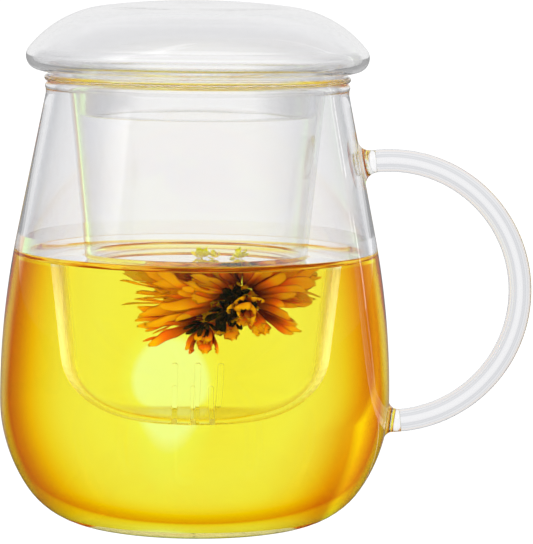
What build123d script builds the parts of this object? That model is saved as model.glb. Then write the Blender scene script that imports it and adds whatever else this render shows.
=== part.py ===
from build123d import *
import math
import os

# Lidded tea mug with a lift-out infuser, all in blown borosilicate glass.
# Millimetres, +Z up.  The origin is on the mug's axis, on the plane it stands on.
# The handle points along +X.

os.makedirs("parts", exist_ok=True)

# --- Mug body ---------------------------------------------------------------
MUG_HEIGHT = 109.4          # top of the fire-polished rim
BELLY_RADIUS = 48.25        # widest outer radius
BELLY_HEIGHT = 31.0         # height of the widest ring
HEEL_RADIUS = 20.8          # outer curve that turns the base up
LOWER_BELLY_RADIUS = 39.0   # outer curve from the heel to the widest ring
SIDE_TURN_RISE = 20.65      # belly to the point where the upright would turn into the straight side
NECK_RADIUS = 37.35         # outer radius just below the rim
NECK_LENGTH = 3.0           # upright stretch at the top, rim included
RIM_BEAD_RADIUS = 1.2       # the round bead along the rim
RIM_BEAD_BLEND = 0.8        # fillet between the bead and the neck
MUG_WALL = 2.0
MUG_FLOOR = 3.0

# --- Handle -----------------------------------------------------------------
HANDLE_RADIUS = 32.4        # centreline of the bent rod
HANDLE_INSET = 0.4          # the handle's centre, inwards from the belly
HANDLE_CENTRE_Z = 58.1
ROD_RADIUS = 2.8
UPPER_WELD_BLEND = 3.2      # fillet of hot glass round each end of the rod
LOWER_WELD_BLEND = 2.5
UPPER_WELD_REACH = 4.4      # from the wall to the seam, along the rod
LOWER_WELD_REACH = 3.4

# --- Infuser ----------------------------------------------------------------
SEAT_CLEARANCE = 0.05       # what each loose piece stands off its seat
INFUSER_GAP = 3.35          # between the rim's bore and the tube just under the flange
INFUSER_TAPER = 5.65        # half angle of the tapered tube, degrees
INFUSER_DEPTH = 82.4        # underside of the flange to the bottom
INFUSER_CORNER = 15.0       # outer radius where the tube turns into the bottom
INFUSER_WALL = 1.3
INFUSER_NECK_BLEND = 1.5    # fillet under the flange
FLANGE_OVERHANG = 0.15      # past the rim's outside
FLANGE_THICKNESS = 1.6

SLIT_COUNT = 3              # slits in each of the two groups
SLIT_PITCH = 3.8
SLIT_WIDTH = 1.0
SLIT_TOP = 10.5             # above the infuser's bottom
SLIT_START_RADIUS = 11.5    # where a slit begins on the bottom

# --- Lid --------------------------------------------------------------------
LID_HEIGHT = 18.3           # crown above the seat
CROWN_RADIUS = 188.0        # nearly flat top
SHOULDER_RADIUS = 27.6
BRIM_OVERHANG = 4.55        # widest radius, past the flange
BRIM_HEIGHT = 4.5           # widest ring above the seat
BRIM_ROLL = 3.5             # radius of the rolled brim
LID_SEAT_INSET = 2.3        # outer edge of the flat seat, in from the flange's edge
LID_WALL = 1.5
COLLAR_DEPTH = 10.0         # collar below the seat
COLLAR_CLEARANCE = 0.35     # between the collar and the infuser at its tightest
COLLAR_BLEND = 1.2          # fillet between the collar and the seat

# --- What follows from those sizes -------------------------------------------
NECK_HEIGHT = MUG_HEIGHT - NECK_LENGTH
RIM_CENTRE_RADIUS = NECK_RADIUS - MUG_WALL / 2
HANDLE_CENTRE = (BELLY_RADIUS - HANDLE_INSET, HANDLE_CENTRE_Z)
INFUSER_SEAT = MUG_HEIGHT + SEAT_CLEARANCE
INFUSER_MOUTH_RADIUS = RIM_CENTRE_RADIUS - RIM_BEAD_RADIUS - INFUSER_GAP
INFUSER_SLOPE = math.tan(math.radians(INFUSER_TAPER))
INFUSER_WALL_ACROSS = INFUSER_WALL / math.cos(math.radians(INFUSER_TAPER))
FLANGE_RADIUS = RIM_CENTRE_RADIUS + RIM_BEAD_RADIUS + FLANGE_OVERHANG
FLANGE_TOP = INFUSER_SEAT + FLANGE_THICKNESS
LID_SEAT = FLANGE_TOP + SEAT_CLEARANCE
LID_SEAT_RADIUS = FLANGE_RADIUS - LID_SEAT_INSET
BRIM_RADIUS = FLANGE_RADIUS + BRIM_OVERHANG


def on_circle(centre, radius, angle):
    """The point of a circle at an angle in radians."""
    return (centre[0] + radius * math.cos(angle), centre[1] + radius * math.sin(angle))


class Outline:
    """An outline drawn edge by edge as (radius, height) pairs."""

    def __init__(self, *start):
        self.start = start
        self.end = start
        self.edges = []

    def line(self, x, z):
        self.edges.append(Line(self.end, (x, z)))
        self.end = (x, z)

    def arc(self, centre, end_angle):
        """Turn about centre until end_angle, in radians."""
        radius = math.dist(centre, self.end)
        start_angle = math.atan2(self.end[1] - centre[1], self.end[0] - centre[0])
        middle = on_circle(centre, radius, (start_angle + end_angle) / 2)
        finish = on_circle(centre, radius, end_angle)
        self.edges.append(ThreePointArc(self.end, middle, finish))
        self.end = finish

    def revolved(self):
        self.line(*self.start)
        section = Plane.XZ * make_face(self.edges)
        return revolve(section, axis=Axis.Z)


def angle_of(centre, point):
    return math.atan2(point[1] - centre[1], point[0] - centre[0])


class BodySurface:
    """The body's wall at a depth below its outer surface: three tangent arcs and a straight side."""

    def __init__(self, inset, base):
        self.base = base
        self.inset = inset
        self.neck = (NECK_RADIUS - inset, NECK_HEIGHT)
        self.low_centre = (BELLY_RADIUS - LOWER_BELLY_RADIUS, BELLY_HEIGHT)
        heel = HEEL_RADIUS - inset
        gap = LOWER_BELLY_RADIUS - HEEL_RADIUS
        drop = BELLY_HEIGHT - base - heel
        heel_x = self.low_centre[0] + math.sqrt(gap ** 2 - drop ** 2)
        self.heel_centre = (heel_x, base + heel)
        self.heel_end = angle_of(self.low_centre, self.heel_centre)
        straight_rise = NECK_HEIGHT - BELLY_HEIGHT - SIDE_TURN_RISE
        self.lean = math.atan2(BELLY_RADIUS - NECK_RADIUS, straight_rise)
        curve = SIDE_TURN_RISE / math.tan(self.lean / 2)
        self.upper_radius = curve - inset
        self.upper_centre = (BELLY_RADIUS - curve, BELLY_HEIGHT)
        self.side_foot = on_circle(self.upper_centre, self.upper_radius, self.lean)

    def upwards(self, outline):
        """From the foot of the heel to the neck."""
        outline.line(self.heel_centre[0], self.base)
        outline.arc(self.heel_centre, self.heel_end)
        outline.arc(self.low_centre, 0.0)
        outline.arc(self.upper_centre, self.lean)
        outline.line(*self.neck)

    def downwards(self, outline):
        """From the neck back to the foot of the heel."""
        outline.line(*self.side_foot)
        outline.arc(self.upper_centre, 0.0)
        outline.arc(self.low_centre, self.heel_end)
        outline.arc(self.heel_centre, -math.pi / 2)

    def radius_at(self, height):
        """Radius of the wall at a height above the foot of the heel."""
        if height >= self.side_foot[1]:
            return self.neck[0] + (self.neck[1] - height) * math.tan(self.lean)
        if height >= BELLY_HEIGHT:
            centre, radius = self.upper_centre, self.upper_radius
        else:
            centre, radius = self.low_centre, LOWER_BELLY_RADIUS - self.inset
        return centre[0] + math.sqrt(radius ** 2 - (height - centre[1]) ** 2)


OUTER = BodySurface(0.0, 0.0)
INNER = BodySurface(MUG_WALL, MUG_FLOOR)


def make_mug_body():
    """A blown shell with a thick base and a bead along its fire-polished rim."""
    bead = (RIM_CENTRE_RADIUS, MUG_HEIGHT - RIM_BEAD_RADIUS)
    side = MUG_WALL / 2 + RIM_BEAD_BLEND
    blend_drop = math.sqrt((RIM_BEAD_RADIUS + RIM_BEAD_BLEND) ** 2 - side ** 2)
    outer_blend = (bead[0] + side, bead[1] - blend_drop)
    inner_blend = (bead[0] - side, bead[1] - blend_drop)
    blend_angle = math.atan2(-blend_drop, side)

    outline = Outline(0.0, 0.0)
    OUTER.upwards(outline)
    outline.line(NECK_RADIUS, outer_blend[1])
    outline.arc(outer_blend, math.pi + blend_angle)
    outline.arc(bead, math.pi - blend_angle)
    outline.arc(inner_blend, 0.0)
    outline.line(*INNER.neck)
    INNER.downwards(outline)
    outline.line(0.0, MUG_FLOOR)
    return outline.revolved()


def make_body_envelope():
    """The body's outer surface filled in, which the weld feet are cut back to."""
    outline = Outline(0.0, 0.0)
    OUTER.upwards(outline)
    outline.line(0.0, NECK_HEIGHT)
    return outline.revolved()


def rod_angle(radius_from_axis, above):
    """The angle on the handle's circle at which the rod reaches a distance from the mug's axis."""
    angle = math.acos((radius_from_axis - HANDLE_CENTRE[0]) / HANDLE_RADIUS)
    return angle if above else -angle


def seam_angle(above, reach):
    """The rod meets its weld foot this far out from the wall."""
    side = 1 if above else -1
    height = HANDLE_CENTRE_Z + side * HANDLE_RADIUS
    return rod_angle(OUTER.radius_at(height) + reach, above)


UPPER_SEAM = seam_angle(True, UPPER_WELD_REACH)
LOWER_SEAM = seam_angle(False, LOWER_WELD_REACH)


def rod_section(angle):
    """The rod's round section at an angle on the handle's circle, facing along the rod."""
    x, z = on_circle(HANDLE_CENTRE, HANDLE_RADIUS, angle)
    along = (-math.sin(angle), 0, math.cos(angle))
    plane = Plane(origin=(x, 0, z), x_dir=(0, 1, 0), z_dir=along)
    return plane, plane * Circle(ROD_RADIUS)


def make_handle_rod():
    """A solid glass rod bent to an arc of a circle."""
    _, section = rod_section(UPPER_SEAM)
    axis = Axis((HANDLE_CENTRE[0], 0, HANDLE_CENTRE[1]), (0, 1, 0))
    return revolve(section, axis=axis, revolution_arc=math.degrees(UPPER_SEAM - LOWER_SEAM))


def make_weld(envelope, angle, direction, blend):
    """A flared foot of glass that joins one end of the rod to the wall."""
    plane, section = rod_section(angle)
    inward = 3 * blend + MUG_WALL
    stub = extrude(section, amount=direction * inward)
    joined = envelope + stub
    seams = [edge for edge in joined.edges() if is_wall_seam(edge, plane, inward)]
    return fillet(seams, blend) - envelope


def is_wall_seam(edge, plane, inward):
    """True for the closed edge where the stub runs into the wall."""
    box = edge.bounding_box()
    span = max(box.size.X, box.size.Y, box.size.Z)
    away = (edge.center(CenterOf.BOUNDING_BOX) - plane.origin).length
    return 2 * ROD_RADIUS * 0.9 < span < 4 * ROD_RADIUS and 0.1 < away < inward


def make_infuser():
    """A tapered beaker with a round-edged flange and slits through its bottom corner."""
    bottom = INFUSER_SEAT - INFUSER_DEPTH
    bottom_radius = INFUSER_MOUTH_RADIUS - INFUSER_SLOPE * INFUSER_DEPTH
    floor = bottom + INFUSER_WALL
    floor_radius = bottom_radius + INFUSER_SLOPE * INFUSER_WALL - INFUSER_WALL_ACROSS
    throat_radius = INFUSER_MOUTH_RADIUS + INFUSER_SLOPE * FLANGE_THICKNESS - INFUSER_WALL_ACROSS
    edge_round = FLANGE_THICKNESS / 2 - 0.01
    corners = [
        (0, bottom),
        (bottom_radius, bottom),
        (INFUSER_MOUTH_RADIUS, INFUSER_SEAT),
        (FLANGE_RADIUS, INFUSER_SEAT),
        (FLANGE_RADIUS, FLANGE_TOP),
        (throat_radius, FLANGE_TOP),
        (floor_radius, floor),
        (0, floor),
    ]
    rounds = [
        INFUSER_CORNER,
        INFUSER_NECK_BLEND,
        edge_round,
        edge_round,
        INFUSER_NECK_BLEND + FLANGE_THICKNESS,
        INFUSER_CORNER - INFUSER_WALL,
    ]
    wall = FilletPolyline(*corners, radius=rounds)
    closing = Line(corners[-1], corners[0])
    beaker = revolve(Plane.XZ * make_face([wall, closing]), axis=Axis.Z)

    slit_length = INFUSER_MOUTH_RADIUS - SLIT_START_RADIUS
    straight = SLIT_TOP - SLIT_WIDTH / 2
    outwards = (Align.CENTER, Align.MIN, Align.MIN)
    lengthwise = (Align.CENTER, Align.CENTER, Align.MIN)
    slot = Box(SLIT_WIDTH, slit_length, straight + INFUSER_WALL, align=outwards)
    round_top = Cylinder(SLIT_WIDTH / 2, slit_length, rotation=(-90, 0, 0), align=lengthwise)
    slit = Pos(0, 0, -INFUSER_WALL) * slot + Pos(0, 0, straight) * round_top
    for side in (0, 180):
        for index in range(SLIT_COUNT):
            offset = (index - (SLIT_COUNT - 1) / 2) * SLIT_PITCH
            place = Rot(0, 0, side) * Pos(offset, SLIT_START_RADIUS, bottom)
            beaker -= place * slit
    return beaker


def make_lid():
    """A hollow blown cap with a rolled brim, a flat seat and a collar open at the bottom."""
    collar_end = LID_SEAT - COLLAR_DEPTH
    tube_bore = INFUSER_MOUTH_RADIUS - INFUSER_SLOPE * (INFUSER_SEAT - collar_end) - INFUSER_WALL_ACROSS
    collar = tube_bore - COLLAR_CLEARANCE
    crown_centre = (0.0, LID_SEAT + LID_HEIGHT - CROWN_RADIUS)
    roll_centre = (BRIM_RADIUS - BRIM_ROLL, LID_SEAT + BRIM_HEIGHT)
    shoulder_centre = meeting_centre(
        crown_centre, CROWN_RADIUS - SHOULDER_RADIUS, roll_centre, SHOULDER_RADIUS - BRIM_ROLL)
    crown_end = angle_of(crown_centre, shoulder_centre)
    shoulder_end = angle_of(shoulder_centre, roll_centre)
    blend_centre = (collar + COLLAR_BLEND, LID_SEAT - COLLAR_BLEND)
    half_wall = LID_WALL / 2
    lip_centre = (collar - half_wall, collar_end + half_wall)

    outline = Outline(0.0, LID_SEAT + LID_HEIGHT)
    outline.arc(crown_centre, crown_end)
    outline.arc(shoulder_centre, shoulder_end)
    outer_corner = (LID_SEAT_RADIUS, LID_SEAT)
    outline.arc(roll_centre, tangent_angle(outer_corner, roll_centre, BRIM_ROLL))
    outline.line(*outer_corner)
    outline.line(blend_centre[0], LID_SEAT)
    outline.arc(blend_centre, math.pi)
    outline.line(collar, lip_centre[1])
    outline.arc(lip_centre, -math.pi)
    outline.line(collar - LID_WALL, blend_centre[1])
    outline.arc(blend_centre, math.pi / 2)
    inner_corner = (LID_SEAT_RADIUS, LID_SEAT + LID_WALL)
    outline.line(*inner_corner)
    inner_turn = tangent_angle(inner_corner, roll_centre, BRIM_ROLL - LID_WALL)
    outline.line(*on_circle(roll_centre, BRIM_ROLL - LID_WALL, inner_turn))
    outline.arc(roll_centre, shoulder_end)
    outline.arc(shoulder_centre, crown_end)
    outline.arc(crown_centre, math.pi / 2)
    return outline.revolved()


def meeting_centre(first, first_reach, second, second_reach):
    """The point nearest the axis that lies at given distances from two centres."""
    apart = math.dist(first, second)
    along = (first_reach ** 2 - second_reach ** 2 + apart ** 2) / (2 * apart)
    across = math.sqrt(first_reach ** 2 - along ** 2)
    unit = ((second[0] - first[0]) / apart, (second[1] - first[1]) / apart)
    return (
        first[0] + unit[0] * along - unit[1] * across,
        first[1] + unit[1] * along + unit[0] * across,
    )


def tangent_angle(point, centre, radius):
    """The angle on a circle where a line from a point below and inside it touches its underside."""
    to_centre = math.atan2(centre[1] - point[1], centre[0] - point[0])
    heading = to_centre - math.asin(radius / math.dist(point, centre))
    return heading - math.pi / 2


envelope = make_body_envelope()
nodes = {
    "mug_body": make_mug_body(),
    "handle_rod": make_handle_rod(),
    "handle_upper_weld": make_weld(envelope, UPPER_SEAM, 1, UPPER_WELD_BLEND),
    "handle_lower_weld": make_weld(envelope, LOWER_SEAM, -1, LOWER_WELD_BLEND),
    "infuser": make_infuser(),
    "lid": make_lid(),
}
for name, solid in nodes.items():
    export_step(solid, f"parts/{name}.step")
    box = solid.bounding_box()
    print(name, round(solid.volume, 1), box.min, box.max)
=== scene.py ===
import math
from functools import partial

import bmesh
import bpy
from mathutils import Matrix, Vector


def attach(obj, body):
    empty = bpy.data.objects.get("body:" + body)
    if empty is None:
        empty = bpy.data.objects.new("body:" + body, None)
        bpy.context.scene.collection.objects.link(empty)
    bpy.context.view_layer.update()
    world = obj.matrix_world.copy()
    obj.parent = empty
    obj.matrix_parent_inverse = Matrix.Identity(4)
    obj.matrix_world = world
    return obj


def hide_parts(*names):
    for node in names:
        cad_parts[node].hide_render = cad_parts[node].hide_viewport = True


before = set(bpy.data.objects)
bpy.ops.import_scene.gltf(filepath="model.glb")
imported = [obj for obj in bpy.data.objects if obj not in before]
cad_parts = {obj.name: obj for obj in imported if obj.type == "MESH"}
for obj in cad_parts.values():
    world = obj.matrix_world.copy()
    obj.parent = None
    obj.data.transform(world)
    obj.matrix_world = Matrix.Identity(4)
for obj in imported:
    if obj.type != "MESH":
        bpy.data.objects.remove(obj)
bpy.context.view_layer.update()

bl_info = {
    "name": "Lidded tea mug with infuser",
    "version": (1, 0, 0),
    "blender": (4, 5, 0),
    "location": "3D View > Sidebar > Tea mug",
    "description": "Builds a blown glass tea mug, its infuser and lid, tea and a tea flower",
    "category": "Add Mesh",
}

MM = 0.001
STEPS_AROUND = 192              # steps of every turned piece
WELD_SIDES, FLARE_STEPS = 64, 14
ROD_STEPS = 220
SURFACE_STEP = 0.2 * MM         # between the rings of the tea's surface, from the wall inwards,
SURFACE_REACH = 8 * MM          # to this far inside the infuser's tube
SEAT_ROUNDING = 0.6 * MM        # at the outer edge of the lid's seat, inside and out
BITE = 0.12 * MM                # how far the tea reaches into the body's glass
CLIMB = 1.2 * MM                # how far out the tea's rise along the glass reaches
TUBE_CLIMBS = 0.25, 0.8         # its share outside and inside the infuser's tube
GLASS_IOR, TEA_IOR, PETAL_IOR = 1.47, 1.33, 1.4
WAVE_SPACING = 24 * MM          # of the faint waves that blowing leaves in glass

# What the glass lets through, from face on (0) to edge on (1): clear face on, with painted
# shade that greys it edge on
BLOWN_EDGE_SHADE = ((0.10, "#FDFDFD"), (0.35, "#F5F5F6"), (0.65, "#ECEDEF"), (0.85, "#D8DAE0"),
               (1.0, "#E0E2E8"))
TUBE_EDGE_SHADE = ((0.10, "#FDFDFD"), (0.35, "#F6F6F7"), (0.65, "#E8E9EC"), (0.85, "#C6C8CE"),
              (1.0, "#BCBEC6"))
# The rod's ramp paints thin grey lines and a peach line into it: painted reflections, the peach
# one for the tea seen through the rod
ROD_PAINTED_LINES = ((0.0, "#F8F8F9"), (0.03, "#F0F0F2"), (0.06, "#C8CACE"), (0.1, "#ECEDEF"),
             (0.22, "#F6F6F7"), (0.3, "#CCCDD1"), (0.36, "#EEEEF0"), (0.5, "#F0DCC8"),
             (0.58, "#F0F0F2"), (0.75, "#DCDDE2"), (1.0, "#B0B2BA"))
# The lid's ramp paints a band of pale grey shade between face on and aslant, and grey shade
# edge on
LID_PAINTED_SHADE = ((0.12, "#FFFFFF"), (0.22, "#EBEBEC"), (0.38, "#E2E2E3"), (0.5, "#EAEAEB"),
             (0.64, "#FFFFFF"), (0.9, "#FFFFFF"), (1.0, "#C0C2C8"))
# What the tea's side lets through, from face on to aslant: painted amber shade that deepens
# towards edge on, then a painted pale reflection at the very edge
TEA_SLANT_PAINT = (
    (0.07, "#FFFDFF"), (0.125, "#FFF6CB"), (0.166, "#FFE66C"), (0.2, "#FFCA00"),
    (0.234, "#EC9B00"), (0.262, "#E37C00"), (0.28, "#FFDD27"), (0.31, "#FFF3A0"))

# Light, as linear RGB or a grey, by compass bearing: 0 and 1 are straight behind the camera,
# 0.25 is to the left and 0.5 straight ahead.  First the light near the mug, with a bright card
# and a warm one at the back left
PLAIN = (1.01, 1.01, 1.015)
WARM_SHADES = (
    (0.34, PLAIN), (0.365, (1.3, 1.5, 1.0)), (0.397, (1.5, 2.1, 1.0)),
    (0.41, (0.98, 0.76, 0.46)), (0.42, (0.93, 0.64, 0.4)), (0.445, (1.0, 0.92, 0.84)),
    (0.465, PLAIN))
# What the glass mirrors: dark, but for the pale wall straight ahead, two narrow strip lights on
# the right, and a tall softbox to the left behind the camera
CARD_SHADES = ((0.14, 0.008), (0.24, 0.04), (0.37, 0.04), (0.4, 0.25), (0.59, 0.25),
               (0.61, 0.04), (0.647, 0.04), (0.6485, 0.9), (0.65, 0.04), (0.6565, 0.04),
               (0.658, 2.5), (0.6595, 0.04), (0.76, 0.04), (0.86, 0.008))
SOFTBOX_SHADES = ((0.141, 0.0), (0.145, 0.7), (0.18, 0.55), (0.205, 0.0))
# What it mirrors by height, from the horizon (0) to straight above (1)
OVERHEAD_SHADES = ((0.0, 0.02), (0.2, 0.03), (0.3, (0.25, 0.25, 0.26)), (0.6, 1.0), (1.0, 1.0))


# --- Sizes and colours that a user would change -----------------------------------------------

def length(name, about, millimetres):
    return bpy.props.FloatProperty(
        name=name, description=about, default=millimetres * MM, unit="LENGTH", precision=5)


def linear(hex_colour):
    """An sRGB hex colour as linear RGB."""
    channels = [int(hex_colour[i:i + 2], 16) / 255 for i in (1, 3, 5)]
    return [c / 12.92 if c <= 0.04045 else ((c + 0.055) / 1.055) ** 2.4 for c in channels]


def colour(name, about, hex_colour):
    return bpy.props.FloatVectorProperty(
        name=name, description=about, default=linear(hex_colour), subtype="COLOR",
        min=0, max=1)


class MugBodySizes(bpy.types.PropertyGroup):
    """The blown body."""
    height: length("Height", "Top of the fire-polished rim", 109.4)
    belly_radius: length("Belly radius", "Widest outer radius", 48.25)
    belly_height: length("Belly height", "Height of the widest ring", 31.0)
    heel_radius: length("Heel radius", "Outer curve that turns the base up", 20.8)
    lower_radius: length("Lower belly radius", "Outer curve from heel to belly", 39.0)
    side_turn: length("Side turn", "Rise over which the side turns straight", 20.65)
    neck_radius: length("Neck radius", "Outer radius just below the rim", 37.35)
    neck_length: length("Neck length", "Upright stretch at the top", 3.0)
    bead_radius: length("Rim bead radius", "The round bead along the rim", 1.2)
    bead_blend: length("Rim bead blend", "Fillet between bead and neck", 0.8)
    wall: length("Wall", "Thickness of the side", 2.0)
    floor: length("Floor", "Thickness of the base", 3.0)


class HandleSizes(bpy.types.PropertyGroup):
    """The bent rod and its two weld feet."""
    bend_radius: length("Bend radius", "Centreline of the bent rod", 32.4)
    centre_x: length("Centre X", "Bend centre, from the mug's axis", 47.85)
    centre_z: length("Centre height", "Bend centre, above the base", 58.1)
    rod_radius: length("Rod radius", "Half the rod's thickness", 2.8)
    upper_blend: length("Upper weld blend", "Fillet round the rod's upper end", 3.2)
    lower_blend: length("Lower weld blend", "Fillet round the rod's lower end", 2.5)
    upper_reach: length("Upper weld reach", "From the wall to the upper seam", 3.7)
    lower_reach: length("Lower weld reach", "From the wall to the lower seam", 3.2)


class InfuserSizes(bpy.types.PropertyGroup):
    """The beaker that hangs in the mug."""
    seat: length("Seat height", "Underside of the flange", 109.45)
    mouth_radius: length("Mouth radius", "Outer radius under the flange", 31.8)
    taper: bpy.props.FloatProperty(
        name="Taper", description="Half angle of the tube", default=math.radians(5.65),
        subtype="ANGLE")
    depth: length("Depth", "From the seat to the bottom", 82.4)
    corner: length("Corner radius", "Outer curve at the bottom", 15.0)
    wall: length("Wall", "Thickness of the tube", 1.3)
    neck_blend: length("Neck blend", "Fillet under the flange", 1.5)
    flange_radius: length("Flange radius", "Outer radius of the flange", 37.7)
    flange: length("Flange", "Thickness of the flange", 1.6)
    slit_count: bpy.props.IntProperty(
        name="Slits per group", description="Slits in each of the two groups", default=3,
        min=1, max=7)
    slit_pitch: length("Slit pitch", "From slit to slit", 3.8)
    slit_width: length("Slit width", "Width of each slit", 1.0)
    slit_top: length("Slit top", "Top of a slit above the bottom", 10.5)
    slit_start: length("Slit start", "Radius at which a slit begins", 11.5)


class LidSizes(bpy.types.PropertyGroup):
    """The blown cap."""
    seat: length("Seat height", "Flat underside that rests on the flange", 111.1)
    height: length("Height", "Crown above the seat", 18.3)
    crown_radius: length("Crown radius", "Curve of the nearly flat top", 188.0)
    shoulder_radius: length("Shoulder radius", "Curve from crown to brim", 27.6)
    brim_radius: length("Brim radius", "Widest outer radius", 42.25)
    brim_height: length("Brim height", "Widest ring above the seat", 4.5)
    brim_roll: length("Brim roll", "Radius of the rolled brim", 3.5)
    seat_radius: length("Seat radius", "Outer edge of the flat seat", 35.4)
    wall: length("Wall", "Thickness of the glass", 1.5)
    collar_radius: length("Collar radius", "Outer radius of the collar", 29.32)
    collar_depth: length("Collar depth", "Collar below the seat", 10.0)
    collar_blend: length("Collar blend", "Fillet between collar and seat", 1.2)


class TeaSettings(bpy.types.PropertyGroup):
    """The tea in the mug."""
    level: length("Level", "Height of the tea's surface", 65.8)
    meniscus: length("Meniscus", "How far the tea climbs the glass", 2.0)
    body_colour: colour("Body colour", "What the tea lets through", "#FDFB00")
    strength: bpy.props.FloatProperty(
        name="Strength", description="Absorption per metre", default=34.0, min=0)


class FlowerSettings(bpy.types.PropertyGroup):
    """The flower that opens in the infuser."""
    petal_length: length("Petal length", "The longest petals", 17.0)
    petal_width: length("Petal width", "Across the widest part", 3.6)
    seed: bpy.props.IntProperty(name="Seed", description="Varies the petals", default=4)


class MugSettings(bpy.types.PropertyGroup):
    """Everything about the mug, piece by piece."""
    body: bpy.props.PointerProperty(type=MugBodySizes)
    handle: bpy.props.PointerProperty(type=HandleSizes)
    infuser: bpy.props.PointerProperty(type=InfuserSizes)
    lid: bpy.props.PointerProperty(type=LidSizes)
    tea: bpy.props.PointerProperty(type=TeaSettings)
    flower: bpy.props.PointerProperty(type=FlowerSettings)


# --- Sections that the turned pieces are made from --------------------------------------------

def on_circle(centre, radius, angle):
    return (centre[0] + radius * math.cos(angle), centre[1] + radius * math.sin(angle))


def angle_of(centre, point):
    return math.atan2(point[1] - centre[1], point[0] - centre[0])


class Section:
    """Half of a turned section, as (radius, height) points from the axis back to the axis."""

    def __init__(self, radius, height):
        self.points = [(radius, height)]

    def line(self, radius, height, step=3 * MM):
        x, z = self.points[-1]
        count = max(1, math.ceil(math.dist((x, z), (radius, height)) / step))
        for i in range(1, count + 1):
            t = i / count
            self.points.append((x + (radius - x) * t, z + (height - z) * t))

    def arc(self, centre, end, step=2 * MM, turn=math.radians(7)):
        """Turn about centre until the angle end."""
        radius = math.dist(centre, self.points[-1])
        start = angle_of(centre, self.points[-1])
        sweep = end - start
        count = max(2, math.ceil(abs(sweep) / turn), math.ceil(abs(sweep) * radius / step))
        for i in range(1, count + 1):
            self.points.append(on_circle(centre, radius, start + sweep * i / count))

    def corner(self, point, following, radius):
        """Run towards point and turn there, with a rounded corner, towards following."""
        here, point, following = (Vector(p) for p in (self.points[-1], point, following))
        back, ahead = (here - point).normalized(), (following - point).normalized()
        half = back.angle(ahead) / 2
        reach = radius / math.tan(half)
        centre = point + (back + ahead).normalized() * (radius / math.sin(half))
        self.line(*(point + back * reach))
        start = angle_of(centre, self.points[-1])
        finish = angle_of(centre, point + ahead * reach)
        sweep = (finish - start + math.pi) % (2 * math.pi) - math.pi
        self.arc(tuple(centre), start + sweep)


class BodyWall:
    """The body's wall at a depth below its outside."""

    def __init__(self, body, inset, base):
        self.body, self.inset, self.base = body, inset, base
        self.neck = (body.neck_radius - inset, body.height - body.neck_length)
        self.low_centre = (body.belly_radius - body.lower_radius, body.belly_height)
        heel = body.heel_radius - inset
        gap = body.lower_radius - body.heel_radius
        drop = body.belly_height - base - heel
        heel_x = self.low_centre[0] + math.sqrt(gap ** 2 - drop ** 2)
        self.heel_centre = (heel_x, base + heel)
        self.heel_end = angle_of(self.low_centre, self.heel_centre)
        rise = self.neck[1] - body.belly_height - body.side_turn
        self.lean = math.atan2(body.belly_radius - body.neck_radius, rise)
        curve = body.side_turn / math.tan(self.lean / 2)
        self.upper_radius = curve - inset
        self.upper_centre = (body.belly_radius - curve, body.belly_height)
        self.side_foot = on_circle(self.upper_centre, self.upper_radius, self.lean)

    def to_side(self, section):
        """From the foot of the heel to where the side turns straight."""
        section.line(self.heel_centre[0], self.base)
        section.arc(self.heel_centre, self.heel_end)
        section.arc(self.low_centre, 0.0)
        section.arc(self.upper_centre, self.lean)

    def from_side(self, section):
        """The same way back."""
        section.line(*self.side_foot)
        section.arc(self.upper_centre, 0.0)
        section.arc(self.low_centre, self.heel_end)
        section.arc(self.heel_centre, -math.pi / 2)

    def radius_at(self, height):
        if height >= self.side_foot[1]:
            return self.neck[0] + (self.neck[1] - height) * math.tan(self.lean)
        if height >= self.body.belly_height:
            centre, radius = self.upper_centre, self.upper_radius
        else:
            centre, radius = self.low_centre, self.body.lower_radius - self.inset
        return centre[0] + math.sqrt(radius ** 2 - (height - centre[1]) ** 2)

    def clearance(self, point):
        """How far a point is from the wall, and the wall's outward direction there."""
        radius, height = math.hypot(point.x, point.y), point.z
        if height >= self.body.belly_height:
            across = angle_of(self.upper_centre, (radius, height))
            if across > self.lean:
                direction = (math.cos(self.lean), math.sin(self.lean))
                away = ((radius - self.side_foot[0]) * direction[0]
                        + (height - self.side_foot[1]) * direction[1])
            else:
                direction = (math.cos(across), math.sin(across))
                away = math.dist(self.upper_centre, (radius, height)) - self.upper_radius
        else:
            across = angle_of(self.low_centre, (radius, height))
            direction = (math.cos(across), math.sin(across))
            away = (math.dist(self.low_centre, (radius, height))
                    - self.body.lower_radius + self.inset)
        outward = Vector((point.x / radius * direction[0], point.y / radius * direction[0],
                          direction[1]))
        return away, outward


def body_section(body, tea_line):
    """A shell with a thick base and a bead along its rim, with a ring of points at the tea."""
    outer, inner = BodyWall(body, 0.0, 0.0), BodyWall(body, body.wall, body.floor)
    bead = (body.neck_radius - body.wall / 2, body.height - body.bead_radius)
    side = body.wall / 2 + body.bead_blend
    drop = math.sqrt((body.bead_radius + body.bead_blend) ** 2 - side ** 2)
    turn = math.atan2(-drop, side)
    section = Section(0.0, 0.0)
    outer.to_side(section)
    section.line(*outer.neck)
    section.line(body.neck_radius, bead[1] - drop)
    section.arc((bead[0] + side, bead[1] - drop), math.pi + turn)
    section.arc(bead, math.pi - turn)
    section.arc((bead[0] - side, bead[1] - drop), 0.0)
    section.line(*inner.neck)
    section.line(inner.radius_at(tea_line), tea_line)
    inner.from_side(section)
    section.line(0.0, body.floor)
    return section.points


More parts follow.
